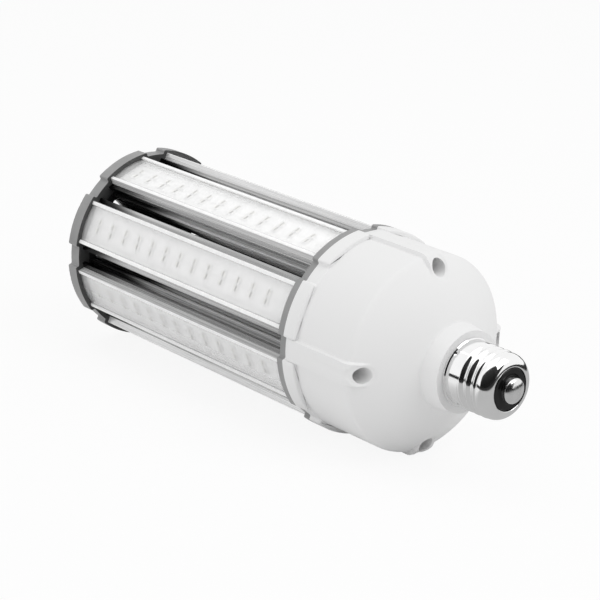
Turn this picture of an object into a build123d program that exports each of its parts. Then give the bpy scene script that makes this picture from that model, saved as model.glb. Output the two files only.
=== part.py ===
from build123d import *
import math
import os

os.makedirs("parts", exist_ok=True)

# The lamp lies on its side: its axis runs along X with the screw base towards +X,
# and it rests on two neighbouring lobes of its cap, its end ring and its flange.
# A station is a distance along the axis from the cap's outer face.
# A turn is an angle round the axis from straight up, towards -Y.

# Strips and the lobed ends
strip_count = 8
recess_radius = 39.8
lobe_rise = 1.7
lobe_half_angle = 16.1
lobe_corner_round = 0.8
rim_edge_round = 0.6
face_clearance = 0.1

# Lengths along the axis
cap_depth = 6.0
strip_length = 133.1
ring_thickness = 3.2
flange_length = 6.2
neck_end_length = 58.1

# Extruded heatsink strip: heights run outwards, half widths run across
rail_setback = 0.5
floor_thickness = 1.4
ledge_half_width = 11.7
rail_height = 3.1
rail_half_width = 9.5
rail_inner_half_width = 7.9
groove_depth = 0.6
groove_height = 0.65
lip_thickness = 0.7
rail_round = 0.35
leg_length = 10.6
leg_outer_half_width = 8.2
leg_thickness = 1.3
fin_thickness = 1.1
fin_spacing = 2.8
fin_first_drop = 3.2
fin_count = 3
fin_margin = 1.6
port_drop = 2.2
port_wall = 1.1

# LED board, LED packages and clear cover of each strip
board_thickness = 1.0
board_end_gap = 0.6
led_rows = 2
led_pitch = 9.27
led_start_gap = 7.33
led_end_gap = 14.0
led_row_gap = 3.6
led_length = 3.0
led_width = 3.0
led_height = 0.65
cover_thickness = 0.55
cover_crown = 0.9

# Cap, its liner and the tube along the core
cap_face = 2.4
cap_wall = 5.5
liner_thickness = 1.6
core_tube_radius = 9.5
core_tube_wall = 1.2
vent_radius = 26.0
vent_length = 10.0
vent_width = 5.0
cap_boss_radius = 3.4

# Screws
strip_screw_radius = 1.5
cap_screw_length = 16.0
ring_screw_length = 12.0
screw_head_radius = 2.8
screw_head_height = 2.0
sink_angle = 82.0
cross_reach = 3.4
cross_width = 0.7
cross_depth = 1.0
housing_screw_count = 4
housing_screw_inset = 5.2
well_radius = 3.25
well_floor = 4.5

# Driver housing
body_setback = 0.3
housing_wall = 2.2
dome_radius = 52.0
shoulder_round = 14.0
neck_length = 7.79
neck_radius = 16.2
neck_round = 2.4
rib_setback = 0.5
rib_width = 9.0
rib_end_round = 5.0
rib_proud = 0.3
flange_edge_round = 0.7
guide_grip = 1.5
guide_height = 4.4
guide_length = 26.0

# Driver board and what stands on it
driver_board_width = 50.0
driver_board_thickness = 1.6
driver_board_drop = 8.0
driver_board_gap = 3.2
driver_board_end_gap = 4.7
transformer_length = 20.0
transformer_width = 16.0
transformer_height = 15.0
transformer_core_length = 12.0
transformer_core_width = 19.0
transformer_core_height = 10.0
main_capacitor_radius = 6.5
main_capacitor_height = 20.0
output_capacitor_radius = 5.0
output_capacitor_height = 15.0
capacitor_round = 0.8
choke_ring_radius = 5.8
choke_section_radius = 2.6
rectifier_length = 8.0
rectifier_width = 3.6
rectifier_height = 8.0
transistor_length = 4.6
transistor_width = 10.0
transistor_height = 15.0
fuse_radius = 2.4
fuse_length = 11.0
lead_radius = 0.9
lead_bend = 3.0
lead_spacing = 6.0
board_edge_margin = 2.5
choke_edge_gap = 15.5
rectifier_edge_gap = 5.0
fuse_edge_gap = 4.2

# Places on the driver board, along and across from its middle
transformer_place = (-6.0, -13.5)
main_capacitor_place = (10.8, -13.5)
output_capacitor_place = (-11.5, 14.0)
choke_place = (2.5, driver_board_width / 2 - choke_edge_gap)
rectifier_place = (12.5, driver_board_width / 2 - rectifier_edge_gap)
transistor_place = (-9.5, 3.5)
fuse_place = (-3.0, driver_board_width / 2 - fuse_edge_gap)

# Screw base with a 26 mm Edison thread
thread_radius = 13.15
thread_root_radius = 12.25
thread_pitch = 3.629
thread_crests = 3
crest_land = 0.6
collar_length = 6.6
collar_lip_radius = 13.6
collar_lip_length = 0.7
collar_lip_slope = 0.6
shell_thickness = 0.45
nose_gap = 1.6
nose_slope = 0.55
nose_length = 4.4
nose_radius = 12.9
nose_hole_radius = 8.25
plug_length = 9.6
plug_bore_radius = 8.6
insulator_depth = 7.6
insulator_radius = 11.4
insulator_bulge = 0.3
contact_radius = 5.0
contact_height = 3.5
contact_rim = 1.6
contact_stem_radius = 1.6
contact_stem_length = 9.5

# Places that follow from the sizes above
strip_pitch = 360 / strip_count
strip_turns = [(n + 0.5) * strip_pitch for n in range(strip_count)]
first_strip_angle = 90 + strip_pitch / 2
sector_slope = math.tan(math.radians(strip_pitch / 2))
strip_start = cap_depth
strip_end = strip_start + strip_length
strip_middle = (strip_start + strip_end) / 2
led_stations = int((strip_length - led_start_gap - led_end_gap) / led_pitch) + 1
led_middle = strip_start + led_start_gap + (led_stations - 1) * led_pitch / 2
ring_end = strip_end + ring_thickness
neck_end = ring_end + neck_end_length
lobe_radius = recess_radius + lobe_rise
dome_centre = neck_end - neck_length - math.sqrt(dome_radius**2 - neck_radius**2)
rail_top = recess_radius - rail_setback
floor_top = rail_top - rail_height
floor_bottom = floor_top - floor_thickness
groove_top = rail_top - lip_thickness
groove_bottom = groove_top - groove_height
leg_inner_half_width = leg_outer_half_width - leg_thickness
leg_end = floor_bottom - leg_length
port_radius = floor_bottom - port_drop
board_top = floor_top + board_thickness
liner_start = strip_start - liner_thickness
liner_radius = recess_radius - cap_wall
body_radius = recess_radius - body_setback
cavity_radius = body_radius - housing_wall
rib_radius = lobe_radius - rib_setback
housing_screw_circle = rib_radius - housing_screw_inset
well_seat = ring_end + well_floor
post_turns = [n * 360 / housing_screw_count for n in range(housing_screw_count)]
sunk_head_height = (screw_head_radius - strip_screw_radius) / math.tan(math.radians(sink_angle / 2))
driver_board_start = ring_end + driver_board_gap
driver_board_top = -driver_board_drop
driver_board_corner = math.hypot(driver_board_width / 2, driver_board_drop + driver_board_thickness)
dome_reach = math.sqrt((dome_radius - housing_wall) ** 2 - driver_board_corner**2)
driver_board_end = dome_centre + dome_reach - driver_board_end_gap
driver_board_length = driver_board_end - driver_board_start
driver_board_middle = (driver_board_start + driver_board_end) / 2
driver_board_centre = driver_board_top - driver_board_thickness / 2
first_crest = neck_end + collar_length + thread_pitch / 2
last_crest = first_crest + (thread_crests - 1) * thread_pitch
nose_start = last_crest + nose_gap
nose_end = nose_start + nose_length
contact_seat = nose_end + insulator_bulge
contact_tip = contact_seat + contact_height
stem_end = contact_seat - contact_stem_length
insulator_back = nose_end - insulator_depth
plug_end = neck_end + plug_length
middle_station = contact_tip / 2

# Outline of the cap, the ring and the flange: a disc with one lobe for each strip
with BuildSketch() as lobed_outline:
    Circle(recess_radius)
    for turn in strip_turns:
        with BuildLine():
            rim = CenterArc((0, 0), lobe_radius, 90 + turn - lobe_half_angle, 2 * lobe_half_angle)
            Line((0, 0), rim @ 0)
            Line(rim @ 1, (0, 0))
        make_face()
    fillet(vertices(), lobe_corner_round)

# The lowest points of the lobes touch the surface that the lamp lies on
axis_height = -lobed_outline.sketch.bounding_box().min.Y
lamp_axis = Axis((0, 0, axis_height), (1, 0, 0))
half_plane = Plane(origin=(-middle_station, 0, axis_height), x_dir=(1, 0, 0), z_dir=(0, -1, 0))
hanging = (Align.CENTER, Align.CENTER, Align.MAX)
standing = (Align.CENTER, Align.CENTER, Align.MIN)


def station(along, turn=0.0):
    """Plane square to the axis, with its own y axis pointing outwards at the turn."""
    angle = math.radians(turn)
    across = (0, math.cos(angle), math.sin(angle))
    return Plane(origin=(along - middle_station, 0, axis_height), x_dir=across, z_dir=(1, 0, 0))


def end_point(along, radius, turn, facing):
    """Plane square to the axis at a radius and a turn, facing the base (1) or the cap (-1)."""
    angle = math.radians(turn)
    out_y = -math.sin(angle)
    out_z = math.cos(angle)
    origin = (along - middle_station, radius * out_y, axis_height + radius * out_z)
    return Plane(origin=origin, x_dir=(0, out_y, out_z), z_dir=(facing, 0, 0))


def tangent_plane(along, radius, turn):
    """Plane facing outwards at a radius and a turn, with its x axis along the lamp."""
    angle = math.radians(turn)
    outward = (0, -math.sin(angle), math.cos(angle))
    origin = (along - middle_station, radius * outward[1], axis_height + radius * outward[2])
    return Plane(origin=origin, x_dir=(1, 0, 0), z_dir=outward)


def inside(along, across, up):
    """Point in the driver's space, given by its station and its offsets from the axis."""
    return (along - middle_station, across, axis_height + up)


def on_board(place, height=0.0):
    """Point on the driver board's top, given along and across from its middle."""
    return inside(driver_board_middle + place[0], place[1], driver_board_top + height)


def dome_station(radius, inset=0.0):
    """Station where the dome, moved in by the inset, has a radius."""
    return dome_centre + math.sqrt((dome_radius - inset) ** 2 - radius**2)


def body_section(side, nose, nose_end_station, inset, corner_round):
    """Half of the housing's section: a straight side, the dome and the neck."""
    corner = (dome_station(side, inset), side)
    crease = (dome_station(nose, inset), nose)
    halfway = (side + nose) / 2
    with BuildSketch(half_plane) as section:
        with BuildLine():
            ThreePointArc(corner, (dome_station(halfway, inset), halfway), crease)
            Polyline(
                crease,
                (nose_end_station, nose),
                (nose_end_station, 0),
                (ring_end, 0),
                (ring_end, side),
                corner,
            )
        make_face()
        fillet(section.vertices().sort_by_distance(corner)[0], corner_round)
        fillet(section.vertices().sort_by_distance(crease)[0], neck_round)
    return section.sketch


def shell_section(inset):
    """Half of the screw shell's section, with every radius less by the inset."""
    points = [
        (neck_end, collar_lip_radius - inset),
        (neck_end + collar_lip_length, collar_lip_radius - inset),
        (neck_end + collar_lip_length + collar_lip_slope, thread_radius - inset),
        (neck_end + collar_length, thread_radius - inset),
    ]
    for n in range(thread_crests):
        crest = first_crest + n * thread_pitch
        root = crest - thread_pitch / 2
        points.append((root, thread_root_radius - inset))
        points.append((crest - crest_land / 2, thread_radius - inset))
        points.append((crest + crest_land / 2, thread_radius - inset))
    points.append((nose_start - nose_slope, thread_root_radius - inset))
    points.append((nose_start, nose_radius - inset))
    with BuildSketch(half_plane) as section:
        with BuildLine():
            Polyline((nose_end - inset, nose_hole_radius), (nose_end - inset, 0), (neck_end, 0), *points)
            TangentArc(points[-1], (nose_end - inset, nose_hole_radius), tangent=(1, 0))
        make_face()
    return section.sketch


def cut_cross():
    """Cut a cross recess into the top of the screw at each present location."""
    Box(cross_reach, cross_width, cross_depth, align=hanging, mode=Mode.SUBTRACT)
    Box(cross_width, cross_reach, cross_depth, align=hanging, mode=Mode.SUBTRACT)


def save(part, name):
    """Name a finished piece and write it to its own file."""
    part.label = name
    export_step(part, "parts/" + name + ".step")


# End cap: a lobed cup with vents between the strips and a boss for each strip's screw
with BuildPart() as end_cap:
    with BuildSketch(station(0)):
        add(lobed_outline.sketch)
    extrude(amount=cap_depth)
    fillet(end_cap.edges().group_by(Axis.X)[0], rim_edge_round)
    with BuildSketch(station(cap_face)):
        Circle(liner_radius + face_clearance)
    extrude(amount=cap_depth, mode=Mode.SUBTRACT)
    with BuildSketch(station(cap_face)):
        with PolarLocations(port_radius, strip_count, start_angle=first_strip_angle):
            Circle(cap_boss_radius)
        Circle(liner_radius + face_clearance, mode=Mode.INTERSECT)
    extrude(amount=liner_start - cap_face)
    with Locations(*[end_point(0, port_radius, turn, -1) for turn in strip_turns]):
        CounterSinkHole(
            radius=strip_screw_radius + face_clearance,
            counter_sink_radius=screw_head_radius + face_clearance,
            depth=cap_depth,
        )
    with BuildSketch(station(0)):
        with PolarLocations(vent_radius, strip_count, start_angle=90):
            SlotOverall(vent_length, vent_width)
    extrude(amount=cap_depth, mode=Mode.SUBTRACT)
save(end_cap.part, "end_cap")

# Liner: the dark plate that closes the cap behind the strips
with BuildPart() as cap_liner:
    with BuildSketch(station(liner_start)):
        Circle(liner_radius)
        Circle(core_tube_radius + face_clearance, mode=Mode.SUBTRACT)
        with PolarLocations(port_radius, strip_count, start_angle=first_strip_angle):
            Circle(strip_screw_radius + face_clearance, mode=Mode.SUBTRACT)
        with PolarLocations(vent_radius, strip_count, start_angle=90):
            SlotOverall(vent_length, vent_width, mode=Mode.SUBTRACT)
    extrude(amount=liner_thickness)
save(cap_liner.part, "cap_liner")

# Countersunk screws that hold the strips to the cap
with BuildPart() as cap_screws:
    with Locations(*[end_point(0, port_radius, turn, -1) for turn in strip_turns]):
        Cone(strip_screw_radius, screw_head_radius, sunk_head_height, align=hanging)
        Cylinder(strip_screw_radius, cap_screw_length, align=hanging)
        cut_cross()
save(cap_screws.part, "cap_screws")

# Section of a heatsink strip: floor with ledges, grooved rails, finned legs and a screw port
with BuildSketch() as heatsink_section:
    with BuildLine():
        Polyline(
            (0, floor_top),
            (rail_inner_half_width, floor_top),
            (rail_inner_half_width, groove_bottom),
            (rail_inner_half_width + groove_depth, groove_bottom),
            (rail_inner_half_width + groove_depth, groove_top),
            (rail_inner_half_width, groove_top),
            (rail_inner_half_width, rail_top),
            (rail_half_width, rail_top),
            (rail_half_width, floor_top),
            (ledge_half_width, floor_top),
            (ledge_half_width, floor_bottom),
            (leg_outer_half_width, floor_bottom),
            (leg_outer_half_width, leg_end),
            (leg_inner_half_width, leg_end),
            (leg_inner_half_width, floor_bottom),
            (0, floor_bottom),
            close=True,
        )
    make_face()
    fillet(vertices().group_by(Axis.Y)[-1], rail_round)
    for n in range(fin_count):
        fin_radius = floor_bottom - fin_first_drop - n * fin_spacing
        fin_tip = fin_radius * sector_slope - fin_margin
        with Locations(((fin_tip + leg_inner_half_width) / 2, fin_radius)):
            Rectangle(fin_tip - leg_inner_half_width, fin_thickness)
    mirror(about=Plane.YZ)
    with Locations((0, port_radius)):
        Circle(strip_screw_radius + face_clearance + port_wall)
        Circle(strip_screw_radius + face_clearance, mode=Mode.SUBTRACT)

# Section of a clear cover: an arched strip with a flat foot in each groove
foot_top = groove_top - (groove_height - cover_thickness) / 2
foot_bottom = foot_top - cover_thickness
foot_half_width = rail_inner_half_width + groove_depth - face_clearance
arch_half_width = rail_inner_half_width - face_clearance
with BuildSketch() as cover_section:
    with BuildLine():
        ThreePointArc((-arch_half_width, foot_top), (0, foot_top + cover_crown), (arch_half_width, foot_top))
        Polyline(
            (arch_half_width, foot_top),
            (foot_half_width, foot_top),
            (foot_half_width, foot_bottom),
            (arch_half_width - cover_thickness, foot_bottom),
        )
        ThreePointArc(
            (arch_half_width - cover_thickness, foot_bottom),
            (0, foot_bottom + cover_crown),
            (cover_thickness - arch_half_width, foot_bottom),
        )
        Polyline(
            (cover_thickness - arch_half_width, foot_bottom),
            (-foot_half_width, foot_bottom),
            (-foot_half_width, foot_top),
            (-arch_half_width, foot_top),
        )
    make_face()

# The strips: heatsink, LED board, LED packages and clear cover
for number, turn in enumerate(strip_turns, start=1):
    with BuildPart() as heatsink:
        with BuildSketch(station(strip_start, turn)):
            add(heatsink_section.sketch)
        extrude(amount=strip_length)
    save(heatsink.part, "heatsink_" + str(number))

    with BuildPart() as led_board:
        with BuildSketch(tangent_plane(strip_middle, floor_top, turn)):
            Rectangle(strip_length - 2 * board_end_gap, 2 * (rail_inner_half_width - face_clearance))
        extrude(amount=board_thickness)
    save(led_board.part, "led_board_" + str(number))

    with BuildPart() as led_chips:
        with BuildSketch(tangent_plane(led_middle, board_top, turn)):
            with GridLocations(led_pitch, led_row_gap, led_stations, led_rows):
                Rectangle(led_length, led_width)
        extrude(amount=led_height)
    save(led_chips.part, "led_chips_" + str(number))

    with BuildPart() as strip_cover:
        with BuildSketch(station(strip_start, turn)):
            add(cover_section.sketch)
        extrude(amount=strip_length)
    save(strip_cover.part, "strip_cover_" + str(number))

# Core tube: carries the leads along the hollow middle
with BuildPart() as core_tube:
    with BuildSketch(station(cap_face)):
        Circle(core_tube_radius)
        Circle(core_tube_radius - core_tube_wall, mode=Mode.SUBTRACT)
    extrude(amount=ring_end - cap_face)
save(core_tube.part, "core_tube")

# End ring: the lobed plate between the strips and the driver housing
with BuildPart() as end_ring:
    with BuildSketch(station(strip_end)):
        add(lobed_outline.sketch)
        Circle(core_tube_radius + face_clearance, mode=Mode.SUBTRACT)
        with PolarLocations(port_radius, strip_count, start_angle=first_strip_angle):
            Circle(strip_screw_radius + face_clearance, mode=Mode.SUBTRACT)
        with PolarLocations(housing_screw_circle, housing_screw_count, start_angle=90):
            Circle(strip_screw_radius + face_clearance, mode=Mode.SUBTRACT)
    extrude(amount=ring_thickness)
save(end_ring.part, "end_ring")

# Pan head screws that hold the strips to the end ring
with BuildPart() as ring_screws:
    with Locations(*[end_point(ring_end, port_radius, turn, 1) for turn in strip_turns]):
        Cylinder(screw_head_radius, screw_head_height, align=standing)
        Cylinder(strip_screw_radius, ring_screw_length, align=hanging)
    with Locations(*[end_point(ring_end + screw_head_height, port_radius, turn, 1) for turn in strip_turns]):
        cut_cross()
save(ring_screws.part, "ring_screws")

# Posts for the housing screws: a rib outside the wall and a boss inside it
with BuildPart() as screw_posts:
    with BuildSketch(station(ring_end)):
        with PolarLocations(0, housing_screw_count, start_angle=90):
            with Locations((housing_screw_circle, 0)):
                Circle(rib_width / 2)
            with Locations(((housing_screw_circle + rib_radius) / 2, 0)):
                Rectangle(rib_radius - housing_screw_circle, rib_width)
        Circle(rib_radius, mode=Mode.INTERSECT)
    extrude(amount=neck_end_length)
    revolve(
        body_section(rib_radius, neck_radius, neck_end, -rib_proud, rib_end_round),
        axis=lamp_axis,
        mode=Mode.INTERSECT,
    )

# Driver housing: lobed flange, round body, four posts, dome, neck and a plug for the base
with BuildPart() as driver_housing:
    with BuildSketch(station(ring_end)):
        add(lobed_outline.sketch)
    extrude(amount=flange_length)
    fillet(driver_housing.edges().group_by(Axis.X)[-1], flange_edge_round)
    revolve(body_section(body_radius, neck_radius, neck_end, 0, shoulder_round), axis=lamp_axis)
    cavity_section = body_section(
        cavity_radius,
        neck_radius - housing_wall,
        neck_end - housing_wall,
        housing_wall,
        shoulder_round - housing_wall,
    )
    revolve(cavity_section, axis=lamp_axis, mode=Mode.SUBTRACT)
    add(screw_posts.part)
    with BuildSketch(station(neck_end)):
        Circle(thread_radius - shell_thickness - face_clearance)
    extrude(amount=collar_length - collar_lip_length)
    with BuildSketch(station(neck_end)):
        Circle(thread_root_radius - shell_thickness - face_clearance)
    extrude(amount=plug_length)
    with BuildSketch(station(neck_end - housing_wall)):
        Circle(plug_bore_radius)
    extrude(amount=housing_wall + plug_length, mode=Mode.SUBTRACT)
    with BuildSketch(station(well_seat)):
        with PolarLocations(housing_screw_circle, housing_screw_count, start_angle=90):
            Circle(well_radius)
    extrude(amount=neck_end - well_seat, mode=Mode.SUBTRACT)
    with BuildSketch(station(ring_end)):
        with PolarLocations(housing_screw_circle, housing_screw_count, start_angle=90):
            Circle(strip_screw_radius + face_clearance)
    extrude(amount=well_floor, mode=Mode.SUBTRACT)
    guide_inner = driver_board_width / 2 - guide_grip
    with BuildSketch(station(driver_board_start)):
        for side in (-1, 1):
            with Locations((side * (guide_inner + cavity_radius) / 2, driver_board_centre)):
                Rectangle(cavity_radius - guide_inner, guide_height)
        with Locations((0, driver_board_centre)):
            Rectangle(
                driver_board_width + 2 * face_clearance,
                driver_board_thickness + 2 * face_clearance,
                mode=Mode.SUBTRACT,
            )
    extrude(amount=guide_length)
save(driver_housing.part, "driver_housing")

# Screws at the bottom of the four wells
with BuildPart() as housing_screws:
    with Locations(*[end_point(well_seat, housing_screw_circle, turn, 1) for turn in post_turns]):
        Cylinder(screw_head_radius, screw_head_height, align=standing)
        Cylinder(strip_screw_radius, well_floor + ring_thickness, align=hanging)
    with Locations(
        *[end_point(well_seat + screw_head_height, housing_screw_circle, turn, 1) for turn in post_turns]
    ):
        cut_cross()
save(housing_screws.part, "housing_screws")

# Driver board
with BuildPart() as driver_board:
    with Locations(inside(driver_board_middle, 0, driver_board_centre)):
        Box(driver_board_length, driver_board_width, driver_board_thickness)
save(driver_board.part, "driver_board")

# Transformer: a winding block with its ferrite core
with BuildPart() as transformer:
    with Locations(on_board(transformer_place)):
        Box(transformer_length, transformer_width, transformer_height, align=standing)
        Box(transformer_core_length, transformer_core_width, transformer_core_height, align=standing)
save(transformer.part, "transformer")

# Capacitors: round cans standing on the board
with BuildPart() as main_capacitor:
    with Locations(on_board(main_capacitor_place)):
        Cylinder(main_capacitor_radius, main_capacitor_height, align=standing)
    fillet(main_capacitor.edges().group_by(Axis.Z)[-1], capacitor_round)
save(main_capacitor.part, "main_capacitor")

with BuildPart() as output_capacitor:
    with Locations(on_board(output_capacitor_place)):
        Cylinder(output_capacitor_radius, output_capacitor_height, align=standing)
    fillet(output_capacitor.edges().group_by(Axis.Z)[-1], capacitor_round)
save(output_capacitor.part, "output_capacitor")

# Filter choke: a wound ring lying on the board
with BuildPart() as filter_choke:
    with Locations(on_board(choke_place, choke_section_radius)):
        Torus(choke_ring_radius, choke_section_radius)
save(filter_choke.part, "filter_choke")

# Rectifier, power transistor and fuse
with BuildPart() as rectifier:
    with Locations(on_board(rectifier_place)):
        Box(rectifier_length, rectifier_width, rectifier_height, align=standing)
save(rectifier.part, "rectifier")

with BuildPart() as power_transistor:
    with Locations(on_board(transistor_place)):
        Box(transistor_length, transistor_width, transistor_height, align=standing)
save(power_transistor.part, "power_transistor")

with BuildPart() as fuse:
    with Locations(on_board(fuse_place, fuse_radius)):
        Cylinder(fuse_radius, fuse_length, rotation=(0, 90, 0))
save(fuse.part, "fuse")

# Output leads: from the board into the core tube and along it to the cap
for name, side in (("plus_lead", 1), ("minus_lead", -1)):
    with BuildPart() as output_lead:
        with BuildLine() as route:
            FilletPolyline(
                inside(driver_board_start + board_edge_margin, side * lead_spacing / 2, driver_board_top),
                inside(driver_board_start + board_edge_margin, side * lead_spacing / 2, 0),
                inside(cap_face, side * lead_spacing / 2, 0),
                radius=lead_bend,
            )
        with BuildSketch(Plane(origin=route.line @ 0, z_dir=route.line % 0)):
            Circle(lead_radius)
        sweep()
    save(output_lead.part, name)

# Mains leads: one to the contact's stem, one to the inside of the screw shell
with BuildPart() as live_lead:
    with BuildLine() as route:
        FilletPolyline(
            inside(driver_board_end - board_edge_margin, 0, driver_board_top),
            inside(driver_board_end - board_edge_margin, 0, 0),
            inside(stem_end, 0, 0),
            radius=lead_bend,
        )
    with BuildSketch(Plane(origin=route.line @ 0, z_dir=route.line % 0)):
        Circle(lead_radius)
    sweep()
save(live_lead.part, "live_lead")

neutral_station = (plug_end + insulator_back) / 2
with BuildPart() as neutral_lead:
    with BuildLine() as route:
        FilletPolyline(
            inside(driver_board_end - board_edge_margin, lead_spacing, driver_board_top),
            inside(driver_board_end - board_edge_margin, lead_spacing, 0),
            inside(neutral_station, lead_spacing, 0),
            inside(neutral_station, thread_root_radius - shell_thickness - face_clearance, 0),
            radius=lead_bend,
        )
    with BuildSketch(Plane(origin=route.line @ 0, z_dir=route.line % 0)):
        Circle(lead_radius)
    sweep()
save(neutral_lead.part, "neutral_lead")

# Screw shell: a thin pressed sleeve with a plain collar, threads and a rounded nose
with BuildPart() as screw_shell:
    revolve(shell_section(0), axis=lamp_axis)
    revolve(shell_section(shell_thickness), axis=lamp_axis, mode=Mode.SUBTRACT)
    with BuildSketch(station(neck_end)):
        Circle(nose_hole_radius)
    extrude(amount=nose_end - neck_end, mode=Mode.SUBTRACT)
save(screw_shell.part, "screw_shell")

# Base insulator: fills the nose behind the shell's rim and holds the contact
rim_back = nose_end - shell_thickness - face_clearance
with BuildPart() as base_insulator:
    with BuildSketch(half_plane):
        with BuildLine():
            Polyline(
                (nose_start, insulator_radius),
                (insulator_back, insulator_radius),
                (insulator_back, contact_stem_radius + face_clearance),
                (contact_seat, contact_stem_radius + face_clearance),
                (contact_seat, contact_radius),
                (nose_end, nose_hole_radius - face_clearance),
                (rim_back, nose_hole_radius - face_clearance),
            )
            TangentArc((nose_start, insulator_radius), (rim_back, nose_hole_radius - face_clearance), tangent=(1, 0))
        make_face()
    revolve(axis=lamp_axis)
save(base_insulator.part, "base_insulator")

# Centre contact: a domed button with its stem
with BuildPart() as centre_contact:
    with BuildSketch(half_plane):
        with BuildLine():
            Polyline(
                (contact_tip, 0),
                (stem_end, 0),
                (stem_end, contact_stem_radius),
                (contact_seat, contact_stem_radius),
                (contact_seat, contact_radius),
                (contact_seat + contact_rim, contact_radius),
            )
            TangentArc((contact_tip, 0), (contact_seat + contact_rim, contact_radius), tangent=(0, 1))
        make_face()
    revolve(axis=lamp_axis)
save(centre_contact.part, "centre_contact")
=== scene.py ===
import math

import bmesh
import bpy
from mathutils import Matrix, Vector


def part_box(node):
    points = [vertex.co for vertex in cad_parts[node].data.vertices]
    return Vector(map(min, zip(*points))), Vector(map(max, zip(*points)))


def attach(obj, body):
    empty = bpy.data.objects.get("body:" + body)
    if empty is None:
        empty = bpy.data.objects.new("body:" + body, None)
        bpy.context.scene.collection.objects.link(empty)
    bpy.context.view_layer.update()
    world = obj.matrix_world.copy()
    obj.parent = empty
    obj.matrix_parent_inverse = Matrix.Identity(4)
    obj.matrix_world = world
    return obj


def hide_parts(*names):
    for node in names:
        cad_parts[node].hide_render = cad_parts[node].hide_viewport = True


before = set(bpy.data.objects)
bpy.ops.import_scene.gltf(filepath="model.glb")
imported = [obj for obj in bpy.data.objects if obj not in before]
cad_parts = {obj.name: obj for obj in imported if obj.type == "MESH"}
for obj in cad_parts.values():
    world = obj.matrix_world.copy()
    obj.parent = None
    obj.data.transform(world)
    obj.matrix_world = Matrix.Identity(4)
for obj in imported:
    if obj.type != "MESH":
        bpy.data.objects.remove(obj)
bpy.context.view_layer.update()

bl_info = {
    "name": "LED Post Top Lamp",
    "version": (1, 0, 0),
    "blender": (4, 5, 0),
    "location": "3D View > Sidebar > Lamp",
    "description": "Builds the looks of a corn-type LED lamp round its solid model",
    "category": "Add Mesh",
}

# Lengths are in metres. A piece is modelled with the lamp's axis as X and the cap's outer face
# at 0, so that x is a station along the axis. A turn is an angle round the axis, in degrees
# from straight up, towards -Y.
MM = 0.001
NOSE_LENGTH = 4.4 * MM
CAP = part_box("end_cap")
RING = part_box("end_ring")
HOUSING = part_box("driver_housing")
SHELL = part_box("screw_shell")
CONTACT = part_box("centre_contact")
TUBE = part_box("core_tube")
AXIS_Z = (TUBE[0].z + TUBE[1].z) / 2
AXIS_PLACE = Matrix.Translation((CAP[0].x, 0, AXIS_Z))


def station(x):
    """Distance along the axis from the cap's outer face, of a place in the frame."""
    return x - CAP[0].x


CAP_END = station(CAP[1].x)
STRIP_END = station(RING[0].x)
RING_END = station(RING[1].x)
NECK_END = station(SHELL[0].x)
SHELL_END = station(SHELL[1].x)
NOSE_START = SHELL_END - NOSE_LENGTH
PLUG_END = station(HOUSING[1].x)
TIP = station(CONTACT[1].x)
STRIPS = range(1, 9)
STRIP_PITCH = 45.0
POST_TURNS = (0, 90, 180, 270)
PUNCH_TURNS = (43, 133, 223, 313)

# Angles between faces that are one flat face, that share their shading, and that are rounded
FLAT_ANGLE = math.radians(0.4)
SMOOTH_ANGLE = math.radians(34)
ROUND_ANGLE = math.radians(38)
WELD = 1e-6
GAP = 0.1 * MM
FINE_ROUND = 0.08 * MM

# A strip's faces by their height over its floor
RAIL_TOP = 2.9 * MM
LEDGE_TOP = 0.3 * MM
FLOOR_DEPTH = 1.6 * MM

# Painted shade and painted reflection: the strips' channels darken towards the cap, standing in for the
# black cap they mirror and the shade there. It ends at this station on the radius of 33 mm, and earlier
# further out
CAP_SHADE_SLOPE = 4.0
CAP_SHADE_REACH = 46 * MM + CAP_SHADE_SLOPE * 33 * MM
CAP_SHADE_SOFT = 13 * MM

# Side of the board's middle that a row of LEDs is on, and the width of the line across an LED
LED_ROWS = ((-1, 0.75 * MM), (1, 0.55 * MM))
LED_CORNER = 0.2 * MM
LED_RIM = 0.3 * MM
LED_WINDOW_DEPTH = 0.12 * MM
LED_SPLIT_GAP = 0.7 * MM
LED_SPLIT_HEIGHT = 0.06 * MM
LED_SPLIT_SHIFT = 0.12 * MM

# Ribs are looked for from this far inside their end, and well lips this far past the flange
RIB_MARGIN = 4 * MM
LIP_START = 12 * MM

# A face looks along a line when its normal's share along it is over this, and an edge runs
# along the axis when its share is over this
FACING = 0.5
ALONG = 0.99
# The cap's faces that look inwards are its inside from this depth
INSIDE_DEPTH = 1 * MM
# Degrees and steps of the housing's spins across a rib and between two ribs
RIB_SPINS = ((24, 60), (66, 22))
# How far the housing's cutters run past what they cut, and how far its screw holes reach
OVERRUN = 1 * MM
POST_OVERRUN = 2 * MM
HOLE_REACH = 8 * MM
# The shell's flared lip: its start inside the collar, its length, its edge and its fall
LIP_INSET = 0.3 * MM
LIP_LENGTH = 0.7 * MM
LIP_EDGE = 0.15 * MM
LIP_FALL = 0.5 * MM


# ---- Sizes and colours ----


def length(name, default, description):
    """A length that a user may change, with its default in mm."""
    return bpy.props.FloatProperty(
        name=name, description=description, default=default * MM, min=0, precision=5, unit="LENGTH"
    )


def grey(name, value, description):
    """A neutral colour that a user may change."""
    return bpy.props.FloatVectorProperty(
        name=name,
        description=description,
        default=(value, value, value),
        min=0,
        max=1,
        subtype="COLOR",
    )


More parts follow.
